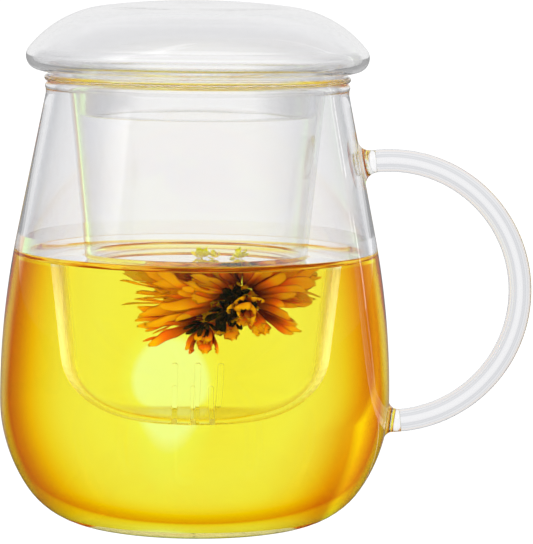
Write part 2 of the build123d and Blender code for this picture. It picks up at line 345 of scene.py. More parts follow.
def infuser_section(infuser):
    """A tapered beaker with a round-edged flange."""
    slope = math.tan(infuser.taper)
    across = infuser.wall / math.cos(infuser.taper)
    bottom = infuser.seat - infuser.depth
    top = infuser.seat + infuser.flange
    floor = bottom + infuser.wall
    bottom_radius = infuser.mouth_radius - slope * infuser.depth
    edge = infuser.flange / 2 - 0.01 * MM       # as good as half round
    corners = [
        ((bottom_radius, bottom), infuser.corner),
        ((infuser.mouth_radius, infuser.seat), infuser.neck_blend),
        ((infuser.flange_radius, infuser.seat), edge),
        ((infuser.flange_radius, top), edge),
        ((infuser.mouth_radius + slope * infuser.flange - across, top),
         infuser.neck_blend + infuser.flange),
        ((bottom_radius + slope * infuser.wall - across, floor),
         infuser.corner - infuser.wall),
    ]
    section = Section(0.0, bottom)
    for index, (point, radius) in enumerate(corners):
        following = corners[index + 1][0] if index + 1 < len(corners) else (0.0, floor)
        section.corner(point, following, radius)
    section.line(0.0, floor)
    return section.points


def lid_section(lid):
    """A hollow cap with a rolled brim, a flat seat and a collar open at the bottom."""
    collar_end = lid.seat - lid.collar_depth
    crown_centre = (0.0, lid.seat + lid.height - lid.crown_radius)
    roll_centre = (lid.brim_radius - lid.brim_roll, lid.seat + lid.brim_height)
    shoulder_centre = meeting_centre(
        crown_centre, lid.crown_radius - lid.shoulder_radius,
        roll_centre, lid.shoulder_radius - lid.brim_roll)
    crown_end = angle_of(crown_centre, shoulder_centre)
    shoulder_end = angle_of(shoulder_centre, roll_centre)
    blend_centre = (lid.collar_radius + lid.collar_blend, lid.seat - lid.collar_blend)
    half_wall = lid.wall / 2
    lip_centre = (lid.collar_radius - half_wall, collar_end + half_wall)

    section = Section(0.0, lid.seat + lid.height)
    section.arc(crown_centre, crown_end)
    section.arc(shoulder_centre, shoulder_end)
    outer_corner = (lid.seat_radius, lid.seat)
    section.arc(roll_centre, tangent_angle(outer_corner, roll_centre, lid.brim_roll))
    section.corner(outer_corner, (blend_centre[0], lid.seat), SEAT_ROUNDING)
    section.line(blend_centre[0], lid.seat)
    section.arc(blend_centre, math.pi)
    section.line(lid.collar_radius, lip_centre[1])
    section.arc(lip_centre, -math.pi)
    section.line(lid.collar_radius - lid.wall, blend_centre[1])
    section.arc(blend_centre, math.pi / 2)
    inner_corner = (lid.seat_radius, lid.seat + lid.wall)
    inner_roll = lid.brim_roll - lid.wall
    inner_turn = tangent_angle(inner_corner, roll_centre, inner_roll)
    inner_edge = on_circle(roll_centre, inner_roll, inner_turn)
    section.corner(inner_corner, inner_edge, SEAT_ROUNDING)
    section.line(*inner_edge)
    section.arc(roll_centre, shoulder_end)
    section.arc(shoulder_centre, crown_end)
    section.arc(crown_centre, math.pi / 2)
    return section.points


def meeting_centre(first, first_reach, second, second_reach):
    """The point nearest the axis that lies at given distances from two centres."""
    apart = math.dist(first, second)
    along = (first_reach ** 2 - second_reach ** 2 + apart ** 2) / (2 * apart)
    across = math.sqrt(first_reach ** 2 - along ** 2)
    unit = ((second[0] - first[0]) / apart, (second[1] - first[1]) / apart)
    return (first[0] + unit[0] * along - unit[1] * across,
            first[1] + unit[1] * along + unit[0] * across)


def tangent_angle(point, centre, radius):
    """The angle on a circle where a line from a point below and inside it touches it."""
    to_centre = math.atan2(centre[1] - point[1], centre[0] - point[0])
    return to_centre - math.asin(radius / math.dist(point, centre)) - math.pi / 2


def tea_section(tea, body, infuser):
    """The tea fills the body, and climbs its wall and both faces of the infuser a little.  It
    reaches slightly into the body's glass."""
    wall = BodyWall(body, body.wall - BITE, body.floor - BITE)
    section = Section(0.0, wall.base)
    wall.to_side(section)
    edge = tea.level + tea.meniscus
    edge_radius = wall.radius_at(edge)
    section.line(edge_radius, edge)
    edge_radius -= BITE
    tube = infuser.mouth_radius - math.tan(infuser.taper) * (infuser.seat - tea.level)
    radius = edge_radius
    while radius > tube - SURFACE_REACH:
        gap = max(radius - tube, tube - infuser.wall - radius, 0.0)
        within = min(max((tube - radius) / infuser.wall, 0.0), 1.0)
        share = TUBE_CLIMBS[0] + (TUBE_CLIMBS[1] - TUBE_CLIMBS[0]) * within
        climb = math.exp((radius - edge_radius) / CLIMB) + share * math.exp(-gap / CLIMB)
        section.points.append((radius, tea.level + tea.meniscus * climb))
        radius -= SURFACE_STEP
    section.line(0.0, tea.level)
    return section.points


# --- Meshes and node trees --------------------------------------------------------------------

def new_object(name, data):
    thing = bpy.data.objects.new(name, data)
    bpy.context.scene.collection.objects.link(thing)
    return thing


def new_mesh(name, vertices, faces, edges=()):
    mesh = bpy.data.meshes.new(name)
    mesh.from_pydata(vertices, edges, faces)
    return mesh


def mesh_piece(name, vertices, faces, material):
    mesh = new_mesh(name, vertices, faces)
    mesh.materials.append(material)
    mesh.shade_smooth()
    return new_object(name, mesh)


def ring_faces(rings, around):
    """The faces between rings of points, and the first and last ring."""
    sides = [(start + i, start + (i + 1) % around, start + around + (i + 1) % around,
              start + around + i)
             for start in range(0, (rings - 1) * around, around) for i in range(around)]
    return sides, tuple(range(around)), tuple(range((rings - 1) * around, rings * around))


def face_outwards(mesh):
    solid = bmesh.new()
    solid.from_mesh(mesh)
    if solid.calc_volume(signed=True) < 0:
        bmesh.ops.reverse_faces(solid, faces=solid.faces)
    solid.to_mesh(mesh)
    solid.free()


def keep_result(piece):
    """Turn what the modifiers make into the object's own mesh."""
    evaluated = piece.evaluated_get(bpy.context.evaluated_depsgraph_get())
    mesh = bpy.data.meshes.new_from_object(evaluated)
    for index in reversed(range(len(mesh.materials))):
        if mesh.materials[index] is None:
            mesh.materials.pop(index=index)
    piece.modifiers.clear()
    piece.data = mesh
    mesh.name = piece.name


def join_or_cut(piece, tool, operation):
    """Union with a tool, or a cut by it, after which the tool is gone."""
    modifier = piece.modifiers.new(operation, "BOOLEAN")
    modifier.operation = operation
    modifier.solver, modifier.material_mode = "EXACT", "TRANSFER"
    modifier.object = tool
    keep_result(piece)
    bpy.data.objects.remove(tool)


def rgba(colour):
    """A colour, given as hex, a grey or linear RGB, as a socket takes it."""
    if isinstance(colour, str):
        colour = linear(colour)
    elif not hasattr(colour, "__len__"):
        colour = (colour,) * 3
    return (*colour, 1)


def add_node(tree, kind, inputs=(), **settings):
    """Add a node.  Its inputs, by name or in order, are numbers, hex colours, datablocks,
    sockets to link, or nodes whose first output is linked."""
    node = tree.nodes.new(kind)
    for name, value in settings.items():
        setattr(node, name, value)
    for name, value in inputs.items() if isinstance(inputs, dict) else enumerate(inputs):
        if isinstance(value, bpy.types.Node):
            value = value.outputs[0]
        if isinstance(value, bpy.types.NodeSocket):
            tree.links.new(value, node.inputs[name])
        else:
            is_colour = isinstance(value, str) and value.startswith("#")
            node.inputs[name].default_value = rgba(value) if is_colour else value
    return node


# Sockets that share their names with others, by their place: on a Mix node for colours, and on
# a Random Value node for plain numbers
FACTOR, FIRST, SECOND, MIXED = 0, 6, 7, 2
LEAST, MOST, DRAWN = 2, 3, 1


def paint_ramp(node, stops):
    """Give a colour ramp its stops, as (position, colour)."""
    elements = node.color_ramp.elements
    while len(elements) < len(stops):
        elements.new(1.0)
    for element, (position, colour_there) in zip(elements, stops):
        element.position = position
        element.color = rgba(colour_there)
    return node


def new_tree(name, *inputs):
    """A Geometry Nodes tree, what adds nodes to it, and its inputs, which are given as (name,
    kind, default) and followed by its material."""
    tree = bpy.data.node_groups.new(name, "GeometryNodeTree")
    for label, kind, *default in (*inputs, ("Material", "Material")):
        socket = tree.interface.new_socket(
            label, in_out="INPUT", socket_type="NodeSocket" + kind)
        for value in default:
            socket.default_value = value
    tree.interface.new_socket("Geometry", in_out="OUTPUT", socket_type="NodeSocketGeometry")
    add = partial(add_node, tree)
    return tree, add, add("NodeGroupInput").outputs


def close_tree(add, geometry, material):
    """End a tree in real geometry with its material."""
    smooth = add("GeometryNodeSetShadeSmooth", [geometry])
    real = add("GeometryNodeRealizeInstances", [smooth])
    dressed = add("GeometryNodeSetMaterial", {"Geometry": real, "Material": material})
    add("NodeGroupOutput", [dressed])


def run_tree(name, tree, start, **settings):
    """Run a tree on a mesh and keep what it makes as a plain mesh object.  A setting is an
    input's name in small letters with underscores."""
    piece = new_object(name, start)
    modifier = piece.modifiers.new(tree.name, "NODES")
    modifier.node_group = tree
    for item in tree.interface.items_tree:
        setting = item.name.lower().replace(" ", "_")
        if item.in_out == "INPUT" and setting in settings:
            modifier[item.identifier] = settings[setting]
    keep_result(piece)
    return piece


def turning_tree():
    """Turns a section, drawn as points in the XZ plane, about the Z axis."""
    tree, add, given = new_tree(
        "turned_about_axis", ("Section", "Geometry"), ("Steps Around", "Int", STEPS_AROUND))
    section, steps = given["Section"], given["Steps Around"]
    size = add("GeometryNodeAttributeDomainSize", [section], component="MESH")
    columns = add("ShaderNodeMath", [steps, 1.0], operation="ADD")
    grid = add("GeometryNodeMeshGrid", {
        "Size X": 1.0, "Size Y": 1.0, "Vertices X": size.outputs["Point Count"],
        "Vertices Y": columns})
    index = add("GeometryNodeInputIndex")
    middle = add("ShaderNodeMath", [index, 0.5], operation="ADD")
    row = add("ShaderNodeMath", [middle, columns], operation="DIVIDE")
    row = add("ShaderNodeMath", [row], operation="FLOOR")
    row_start = add("ShaderNodeMath", [row, columns], operation="MULTIPLY")
    column = add("ShaderNodeMath", [index, row_start], operation="SUBTRACT")
    share = add("ShaderNodeMath", [column, steps], operation="DIVIDE")
    angle = add("ShaderNodeMath", [share, math.tau], operation="MULTIPLY")
    place = add("GeometryNodeSampleIndex", {
        "Geometry": section, "Index": row, "Value": add("GeometryNodeInputPosition")},
        data_type="FLOAT_VECTOR")
    turned = add("ShaderNodeVectorRotate", {"Vector": place, "Angle": angle},
                 rotation_type="Z_AXIS")
    moved = add("GeometryNodeSetPosition", {"Geometry": grid, "Position": turned})
    closed = add("GeometryNodeMergeByDistance", {"Geometry": moved, "Distance": 0.002 * MM})
    close_tree(add, closed, given["Material"])
    return tree


def turned_piece(name, points, material):
    """A closed solid turned from a section, with its faces pointing outwards."""
    edges = [(i, i + 1) for i in range(len(points) - 1)]
    section = new_mesh(name + "_section", [(x, 0, z) for x, z in points], [], edges)
    tree = bpy.data.node_groups.get("turned_about_axis") or turning_tree()
    piece = run_tree(name, tree, section, steps_around=STEPS_AROUND, material=material)
    face_outwards(piece.data)
    return piece


# --- Materials --------------------------------------------------------------------------------

# Glass or water that hides nothing: it only bends the light
CLEAR = {"Base Color": "#FFFFFF", "Roughness": 0.0, "Transmission Weight": 1.0}


def new_material(name):
    """An empty material, and what adds nodes to it."""
    material = bpy.data.materials.get(name) or bpy.data.materials.new(name)
    material.use_nodes = True
    material.node_tree.nodes.clear()
    return material, partial(add_node, material.node_tree)


def blown_glass(add, painted_slants, waves=0.02):
    """The shader of glass shaped hot in air, with its skin and how much aslant it is seen."""
    place = add("ShaderNodeTexCoord").outputs["Object"]
    wave = add("ShaderNodeTexNoise", {
        "Vector": place, "Scale": 1 / WAVE_SPACING, "Detail": 1.0})
    skin = add("ShaderNodeBump", {"Strength": waves, "Distance": 1 * MM, "Height": wave})
    slant = add("ShaderNodeLayerWeight").outputs["Facing"]
    # The colour by slant is painted: shade, lines and bands that the piece's ramp gives
    painted_slant = paint_ramp(add("ShaderNodeValToRGB", [slant]), painted_slants)
    glass = add("ShaderNodeBsdfPrincipled", {
        **CLEAR, "Base Color": painted_slant, "IOR": GLASS_IOR, "Normal": skin})
    return glass, skin, slant


def blown_borosilicate(name, painted_slants, waves=0.02):
    """Borosilicate glass, shaped hot in air.  Its skin is mirror smooth, with faint, wide
    waves.  It is clear face on, and its colour by slant comes from the piece's ramp:
    painted shade greys it where the eye runs along the wall."""
    material, add = new_material(name)
    glass, _, _ = blown_glass(add, painted_slants, waves)
    add("ShaderNodeOutputMaterial", [glass])
    return material


def wetted_borosilicate(name):
    """The inside of the body where the tea stands against it, and so bends the light far less
    than it does against air."""
    material, add = new_material(name)
    glass = add("ShaderNodeBsdfPrincipled", {**CLEAR, "IOR": GLASS_IOR / TEA_IOR})
    add("ShaderNodeOutputMaterial", [glass])
    return material


def immersed_borosilicate(name, painted_slants, level):
    """Thin blown glass of which the part below the tea's surface is wet.  Edge on, the wet
    tube carries a painted pale reflection and its rounded bottom a painted amber line."""
    material, add = new_material(name)
    dry, skin, slant = blown_glass(add, painted_slants)
    # Edge on, the wet glass is painted amber: a painted line of the tea seen through it
    line = paint_ramp(add("ShaderNodeValToRGB", [slant]),
                      ((0.7, "#FFFFFF"), (0.88, "#CB9B38")))
    wet = add("ShaderNodeBsdfPrincipled", {
        **CLEAR, "Base Color": line, "IOR": GLASS_IOR / TEA_IOR, "Normal": skin})
    shape = add("ShaderNodeNewGeometry").outputs
    tilt = add("ShaderNodeSeparateXYZ", [shape["True Normal"]]).outputs["Z"]
    tilt = add("ShaderNodeMath", [tilt], operation="ABSOLUTE")
    upright = add("ShaderNodeMapRange", {
        "Value": tilt, "From Min": 0.1, "From Max": 0.7, "To Min": 0.85, "To Max": 0.0})
    edge_on = add("ShaderNodeMapRange", {"Value": slant, "From Min": 0.6, "From Max": 0.8})
    share = add("ShaderNodeMath", [upright, edge_on], operation="MULTIPLY")
    # A pale soft sheet mixed in on the upright wet tube edge on: a painted reflection of bright
    # light
    pale = add("ShaderNodeBsdfDiffuse", {"Color": "#E5E2FF"})
    wet = add("ShaderNodeMixShader", [share, wet, pale])
    height = add("ShaderNodeSeparateXYZ", [shape["Position"]]).outputs["Z"]
    above = add("ShaderNodeMath", [height, level], operation="GREATER_THAN")
    add("ShaderNodeOutputMaterial", [add("ShaderNodeMixShader", [above, wet, dry])])
    return material


def ground_borosilicate(name):
    """Glass where a wheel has cut it: a fine frosted face that scatters the light."""
    material, add = new_material(name)
    cut = add("ShaderNodeBsdfPrincipled", {
        "Base Color": "#E1DACB", "Roughness": 0.3, "IOR": GLASS_IOR,
        "Transmission Weight": 0.5})
    add("ShaderNodeOutputMaterial", [cut])
    return material


def brewed_tea(name, tea):
    """Clear flower tea, which swallows blue.  Its surface bends and mirrors light as water
    does.  Its sides stand against glass, which does the bending there; seen at a slant they
    carry painted amber shade for the light that comes a long way round through the tea, and a
    painted pale reflection at the very edge.  The rim that climbs the glass, seen from within
    the tea, is painted amber with streaks: a painted reflection of the tea below it."""
    material, add = new_material(name)
    slant = add("ShaderNodeLayerWeight").outputs["Facing"]
    place = add("ShaderNodeTexCoord").outputs["Object"]
    height = add("ShaderNodeSeparateXYZ", [place]).outputs["Z"]
    shape = add("ShaderNodeNewGeometry").outputs

    water = add("ShaderNodeBsdfPrincipled", {**CLEAR, "IOR": TEA_IOR})
    skim = add("ShaderNodeMapRange", {
        "Value": slant, "From Min": 0.6, "From Max": 0.88, "To Max": 0.96})
    mirror = add("ShaderNodeBsdfAnisotropic", {"Color": "#FFFFFF", "Roughness": 0.0})
    surface = add("ShaderNodeMixShader", [skim, water, mirror])

    # The side's colour by slant is painted: amber shade towards edge on and a pale reflection
    # at the very edge
    painted_slant = paint_ramp(add("ShaderNodeValToRGB", [slant]), TEA_SLANT_PAINT)
    thin = add("ShaderNodeMapRange", {
        "Value": height, "From Min": tea.level, "From Max": tea.level + 0.3 * MM})
    painted_slant = add("ShaderNodeMix", {FACTOR: thin, FIRST: painted_slant, SECOND: "#FFFFFF"},
               data_type="RGBA").outputs[MIXED]
    side = add("ShaderNodeBsdfPrincipled", {**CLEAR, "Base Color": painted_slant, "IOR": 1.001})

    tilt = add("ShaderNodeSeparateXYZ", [shape["True Normal"]]).outputs["Z"]
    tilt = add("ShaderNodeMath", [tilt], operation="ABSOLUTE")
    level = add("ShaderNodeMath", [tilt, 0.3], operation="GREATER_THAN")
    high = add("ShaderNodeMath", [height, tea.level - 1 * MM], operation="GREATER_THAN")
    top = add("ShaderNodeMath", [level, high], operation="MULTIPLY")
    liquid = add("ShaderNodeMixShader", [top, side, surface])

    # The climbing rim is painted amber with darker and lighter streaks: a painted reflection of
    # the tea below it, partly a soft lit surface
    stretched = add("ShaderNodeMapping", {"Vector": place, "Scale": (60, 60, 1500)})
    streaks = add("ShaderNodeTexNoise", {"Vector": stretched, "Scale": 1.0})
    amber = paint_ramp(add("ShaderNodeValToRGB", [streaks]), (
        (0.42, "#BC5900"), (0.5, "#F9AD00"), (0.57, "#FFDD3F")))
    rim = add("ShaderNodeMixShader", [
        0.4, add("ShaderNodeBsdfTransparent", [amber]), add("ShaderNodeBsdfDiffuse", [amber])])
    climbing = add("ShaderNodeMapRange", {
        "Value": height, "From Min": tea.level + 0.1 * MM, "From Max": tea.level + 0.3 * MM})
    climbing = add("ShaderNodeMath", [climbing, level], operation="MULTIPLY")
    climbing = add("ShaderNodeMath", [climbing, shape["Backfacing"]], operation="MULTIPLY")
    liquid = add("ShaderNodeMixShader", [climbing, liquid, rim])
    depth = add("ShaderNodeVolumeAbsorption", {
        "Color": rgba(tea.body_colour), "Density": tea.strength})
    add("ShaderNodeOutputMaterial", [liquid, depth])
    return material


def soaked_petal(name, foot, middle, tip, rim, glowing=0.5, sheer=0.0):
    """A petal soaked in hot tea: thin and soft, so light glows through it.  It is darker at its
    foot and along its rim, with fine veins running along it."""
    material, add = new_material(name)
    across = add("ShaderNodeUVMap", uv_map="petal")
    flat = add("ShaderNodeSeparateXYZ", [across]).outputs
    stretched = add("ShaderNodeMapping", {"Vector": across, "Scale": (9, 0.8, 1)})
    veins = add("ShaderNodeTexNoise", {"Vector": stretched, "Scale": 2.0, "Detail": 3.0})
    tone = add("ShaderNodeAttribute", attribute_name="tone").outputs["Fac"]
    spread = add("ShaderNodeMath", [tone, 0.5, flat["Y"]], operation="MULTIPLY_ADD")
    spread = add("ShaderNodeMath", [veins, 0.45, spread], operation="MULTIPLY_ADD")
    shade = paint_ramp(add("ShaderNodeValToRGB", [spread]),
                       ((0.35, foot), (0.8, middle), (1.0, tip)))
    from_middle = add("ShaderNodeMath", [flat["X"], 0.5], operation="SUBTRACT")
    from_middle = add("ShaderNodeMath", [from_middle], operation="ABSOLUTE")
    edge = add("ShaderNodeMapRange", {
        "Value": from_middle, "From Min": 0.36, "From Max": 0.5, "To Max": 0.8})
    shade = add("ShaderNodeMix", {FACTOR: edge, FIRST: shade, SECOND: rim},
                data_type="RGBA").outputs[MIXED]
    skin = add("ShaderNodeBump", {"Strength": 0.3, "Distance": 0.2 * MM, "Height": veins})
    flesh = add("ShaderNodeBsdfPrincipled", {
        "Base Color": shade, "Roughness": 0.5, "IOR": PETAL_IOR / TEA_IOR, "Normal": skin})
    glow = add("ShaderNodeBsdfTranslucent", {"Color": shade, "Normal": skin})
    thin = add("ShaderNodeMixShader", [glowing, flesh, glow])
    whole = add("ShaderNodeMixShader", [sheer, thin, add("ShaderNodeBsdfTransparent")])
    add("ShaderNodeOutputMaterial", [whole])
    return material


# --- Pieces -----------------------------------------------------------------------------------

class TEAMUG_OT_body(bpy.types.Operator):
    """Blow the body and weld the handle's two feet to it"""
    bl_idname = "tea_mug.body"
    bl_label = "Body and weld feet"

    def execute(self, context):
        mug = context.scene.tea_mug
        glass = blown_borosilicate("mug_blown_borosilicate", BLOWN_EDGE_SHADE)
        tea_line = mug.tea.level + mug.tea.meniscus
        piece = turned_piece("mug_wall", body_section(mug.body, tea_line), glass)
        piece.data.materials.append(wetted_borosilicate("mug_borosilicate_against_tea"))
        middle = BodyWall(mug.body, mug.body.wall / 2, mug.body.floor / 2)
        for face in piece.data.polygons:
            height = face.center.z
            radius = math.hypot(face.center.x, face.center.y)
            if middle.base < height < tea_line and radius < middle.radius_at(height):
                face.material_index = 1
        for above in (True, False):
            join_or_cut(piece, weld_foot(mug, above, glass), "UNION")
        piece.data.shade_smooth()
        piece.data.set_sharp_from_angle(angle=math.radians(50))
        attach(piece, "mug")
        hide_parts("mug_body", "handle_upper_weld", "handle_lower_weld")
        return {"FINISHED"}


def rod_frame(handle, angle):
    """The centre of the rod's section at an angle of its bend, and its outward direction."""
    x, z = on_circle((handle.centre_x, handle.centre_z), handle.bend_radius, angle)
    return Vector((x, 0, z)), Vector((math.cos(angle), 0, math.sin(angle)))


def from_rod(outward, turn):
    """The direction out of the rod at a turn about its line."""
    return outward * math.cos(turn) + Vector((0, 1, 0)) * math.sin(turn)


def seam_angle(mug, above):
    """Where along the bend the rod meets its weld foot."""
    handle = mug.handle
    side = 1 if above else -1
    wall = BodyWall(mug.body, 0.0, 0.0)
    reach = handle.upper_reach if above else handle.lower_reach
    from_axis = wall.radius_at(handle.centre_z + side * handle.bend_radius) + reach
    return side * math.acos((from_axis - handle.centre_x) / handle.bend_radius)


def touching_ball(handle, wall, blend, seam, turn):
    """A ball as big as the weld's fillet that touches rod and wall, found by halving.  Its
    centre, the rod's centre next to it, the way from there, and the way out of the wall."""
    sink = 0.03 * MM        # into the wall, so that the two meet in a clean seam
    near, far = seam, math.copysign(math.pi * 0.75, seam)
    for _ in range(50):
        angle = (near + far) / 2
        centre, outward = rod_frame(handle, angle)
        way = from_rod(outward, turn)
        ball = centre + way * (handle.rod_radius + blend)
        away, up = wall.clearance(ball)
        if away > blend - sink:
            near = angle
        else:
            far = angle
    return ball, centre, way, up


def weld_foot(mug, above, glass):
    """A foot that flares from the rod into the wall, rolled round the joint like a ball."""
    handle, wall = mug.handle, BodyWall(mug.body, 0.0, 0.0)
    blend = handle.upper_blend if above else handle.lower_blend
    seam = seam_angle(mug, above)
    seam_centre, seam_outward = rod_frame(handle, seam)
    spokes = []
    for index in range(WELD_SIDES):
        turn = math.tau * index / WELD_SIDES
        ball, centre, way, up = touching_ball(handle, wall, blend, seam, turn)
        seam_way = from_rod(seam_outward, turn)
        inwards = (centre - seam_centre).normalized()
        bevel = 0.1 * MM
        spoke = [seam_centre + seam_way * (handle.rod_radius - bevel),
                 seam_centre + seam_way * handle.rod_radius + inwards * bevel]
        sweep, axis = (-way).angle(-up), (-way).cross(-up).normalized()
        for step in range(FLARE_STEPS + 1):
            spoke.append(ball + Matrix.Rotation(sweep * step / FLARE_STEPS, 3, axis)
                         @ -way * blend)
        inside = ball - up * (blend + 0.8 * MM)
        spokes.append(spoke + [inside, inside - up * 0.2 * MM])
    rings = list(zip(*spokes))
    sides, first, last = ring_faces(len(rings), WELD_SIDES)
    piece = mesh_piece("weld_foot", [tuple(point) for ring in rings for point in ring],
                       [*sides, first, last[::-1]], glass)
    face_outwards(piece.data)
    return piece


def rod_tree():
    """Sweeps a round rod along a line, with slightly narrowed ends."""
    tree, add, given = new_tree(
        "bent_rod", ("Line", "Geometry"), ("Rod Radius", "Float", 2.8 * MM),
        ("End Taper", "Float", 0.2 * MM), ("Sides", "Int", 64))
    line = add("GeometryNodeMeshToCurve", [given["Line"]])
    total = add("GeometryNodeCurveLength", [line])
    run = add("GeometryNodeSplineParameter").outputs["Length"]
    left = add("ShaderNodeMath", [total, run], operation="SUBTRACT")
    nearest = add("ShaderNodeMath", [run, left], operation="MINIMUM")
    scale = add("ShaderNodeMapRange", {
        "Value": nearest, "From Max": given["End Taper"], "To Min": 0.97})
    circle = add("GeometryNodeCurvePrimitiveCircle", {
        "Resolution": given["Sides"], "Radius": given["Rod Radius"]})
    swept = add("GeometryNodeCurveToMesh", {
        "Curve": line, "Profile Curve": circle, "Scale": scale, "Fill Caps": True})
    close_tree(add, swept, given["Material"])
    return tree


class TEAMUG_OT_handle(bpy.types.Operator):
    """Bend the glass rod to its arc"""
    bl_idname = "tea_mug.handle"
    bl_label = "Handle"

    def execute(self, context):
        mug = context.scene.tea_mug
        handle = mug.handle
        overlap = 0.15 * MM / handle.bend_radius
        low, high = seam_angle(mug, False) - overlap, seam_angle(mug, True) + overlap
        angles = [low + (high - low) * i / ROD_STEPS for i in range(ROD_STEPS + 1)]
        line = new_mesh("rod_line", [rod_frame(handle, angle)[0] for angle in angles], [],
                        [(i, i + 1) for i in range(ROD_STEPS)])
        # Its colour carries painted lines: reflections, and the tea seen through the rod
        glass = blown_borosilicate("drawn_borosilicate_rod", ROD_PAINTED_LINES, waves=0.01)
        piece = run_tree("handle_rod_glass", rod_tree(), line,
                         rod_radius=handle.rod_radius, material=glass)
        face_outwards(piece.data)
        piece.data.set_sharp_from_angle(angle=math.radians(40))
        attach(piece, "mug")
        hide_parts("handle_rod")
        return {"FINISHED"}


def slit_tree():
    """Cutters for the slits: flat bars with round tops, in two facing groups."""
    tree, add, given = new_tree(
        "slit_cutters", ("Bar", "Geometry"), ("Slits Per Group", "Int", 3),
        ("Slit Pitch", "Float", 3.8 * MM))
    count, pitch = given["Slits Per Group"], given["Slit Pitch"]
    last = add("ShaderNodeMath", [count, 1.0], operation="SUBTRACT")
    half = add("ShaderNodeMath", [last, -0.5], operation="MULTIPLY")
    first = add("ShaderNodeMath", [half, pitch], operation="MULTIPLY")
    row = add("GeometryNodeMeshLine", {
        "Count": count, "Start Location": add("ShaderNodeCombineXYZ", [first]),
        "Offset": add("ShaderNodeCombineXYZ", [pitch])})
    group = add("GeometryNodeInstanceOnPoints", {"Points": row, "Instance": given["Bar"]})
    turned = add("GeometryNodeTransform", {"Geometry": group, "Rotation": (0, 0, math.pi)})
    both = add("GeometryNodeJoinGeometry", [group])
    tree.links.new(turned.outputs[0], both.inputs[0])
    close_tree(add, both, given["Material"])
    return tree


def slit_bar(infuser):
    """One cutter: a bar as wide as the slit with a half-round top, lying outwards along Y."""
    bottom = infuser.seat - infuser.depth
    half = infuser.slit_width / 2
    outline = [(-half, bottom - infuser.wall), (half, bottom - infuser.wall)]
    outline += [on_circle((0, bottom + infuser.slit_top - half), half, math.pi * i / 12)
                for i in range(13)]
    vertices = [(x, y, z) for y in (infuser.slit_start, infuser.mouth_radius)
                for x, z in outline]
    sides, first, last = ring_faces(2, len(outline))
    mesh = new_mesh("slit_bar", vertices, [*sides, first[::-1], last])
    face_outwards(mesh)
    return mesh


class TEAMUG_OT_infuser(bpy.types.Operator):
    """Blow the infuser and cut the slits through its bottom corner"""
    bl_idname = "tea_mug.infuser"
    bl_label = "Infuser"

    def execute(self, context):
        mug = context.scene.tea_mug
        infuser = mug.infuser
        glass = immersed_borosilicate("infuser_thin_borosilicate", TUBE_EDGE_SHADE,
                                      mug.tea.level + TUBE_CLIMBS[0] * mug.tea.meniscus)
        piece = turned_piece("infuser_glass", infuser_section(infuser), glass)
        cutters = run_tree("slit_cutters", slit_tree(), slit_bar(infuser),
                           slits_per_group=infuser.slit_count, slit_pitch=infuser.slit_pitch,
                           material=ground_borosilicate("wheel_cut_borosilicate"))
        face_outwards(cutters.data)
        join_or_cut(piece, cutters, "DIFFERENCE")
        piece.data.shade_smooth()
        piece.data.set_sharp_from_angle(angle=math.radians(40))
        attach(piece, "infuser")
        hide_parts("infuser")
        return {"FINISHED"}


class TEAMUG_OT_lid(bpy.types.Operator):
    """Blow the hollow lid with its rolled brim and collar"""
    bl_idname = "tea_mug.lid"
    bl_label = "Lid"

    def execute(self, context):
        # Its colour carries a painted band of shade and painted grey edges
        glass = blown_borosilicate("lid_blown_borosilicate", LID_PAINTED_SHADE)
        piece = turned_piece("lid_glass", lid_section(context.scene.tea_mug.lid), glass)
        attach(piece, "lid")
        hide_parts("lid")
        return {"FINISHED"}


class TEAMUG_OT_tea(bpy.types.Operator):
    """Fill the mug with tea"""
    bl_idname = "tea_mug.tea"
    bl_label = "Tea"

    def execute(self, context):
        mug = context.scene.tea_mug
        piece = turned_piece("tea", tea_section(mug.tea, mug.body, mug.infuser),
                             brewed_tea("brewed_tea", mug.tea))
        piece.data.set_sharp_from_angle(angle=math.radians(40))
        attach(piece, "mug")
        return {"FINISHED"}


# --- The tea flower ---------------------------------------------------------------------------

PETAL_RINGS, PETAL_SIDES = 12, 12
PETAL_FOOT, PETAL_THICKNESS = 1.2 * MM, 0.1 * MM
# Where a petal reaches its full width and where its blunt tip begins, as shares of its length
FULL_FROM, BLUNT_FROM = 0.7, 0.84
# How wide its foot is, how deep its cup and its ribs, as shares of the half width, and how deep
# the notches of its tip, as a share of the width
FOOT_SHARE, CUPPING, RIBBING, NOTCHING = 0.3, 0.3, 0.07, 0.22


def petal_mesh(length, width, curl):
    """A thin closed petal growing up along Z: narrow at its foot, cupped and ribbed across, and
    notched at its blunt tip."""
    vertices, places = [], []
    y, z = 0.0, PETAL_FOOT
    for ring in range(PETAL_RINGS):
        along = ring / (PETAL_RINGS - 1)
        lean = curl * along
        end = max(0.0, along - BLUNT_FROM) / (1 - BLUNT_FROM)
        spread = math.sin(math.pi / 2 * min(along / FULL_FROM, 1))
        half = width / 2 * (FOOT_SHARE + (1 - FOOT_SHARE) * spread)
        half *= math.sqrt(1 - 0.75 * end ** 2)
        for index in range(PETAL_SIDES):
            turn = math.tau * index / PETAL_SIDES
            side = math.cos(turn)
            cup = half * (CUPPING * side * side + RIBBING * math.cos(3 * math.pi * side))
            cup += PETAL_THICKNESS * math.sin(turn)
            notch = math.cos(2 * math.pi * side) * -0.5 - side * side
            vertices.append((half * side, y + cup * math.cos(lean),
                             z - cup * math.sin(lean) + NOTCHING * width * end * notch))
            places.append(((side + 1) / 2, along))
        step = length / (PETAL_RINGS - 1)
        y += step * math.sin(lean)
        z += step * math.cos(lean)
    sides, first, last = ring_faces(PETAL_RINGS, PETAL_SIDES)
    mesh = new_mesh("petal", vertices, [*sides, first[::-1], last])
    layer = mesh.uv_layers.new(name="petal")
    for loop in mesh.loops:
        layer.data[loop.index].uv = places[loop.vertex_index]
    face_outwards(mesh)
    return mesh


PETAL_WAVE = 7 * MM         # size of the waves that the tea leaves in the petals
LOOSE_FROM = 9 * MM         # from here outwards a petal waves freely


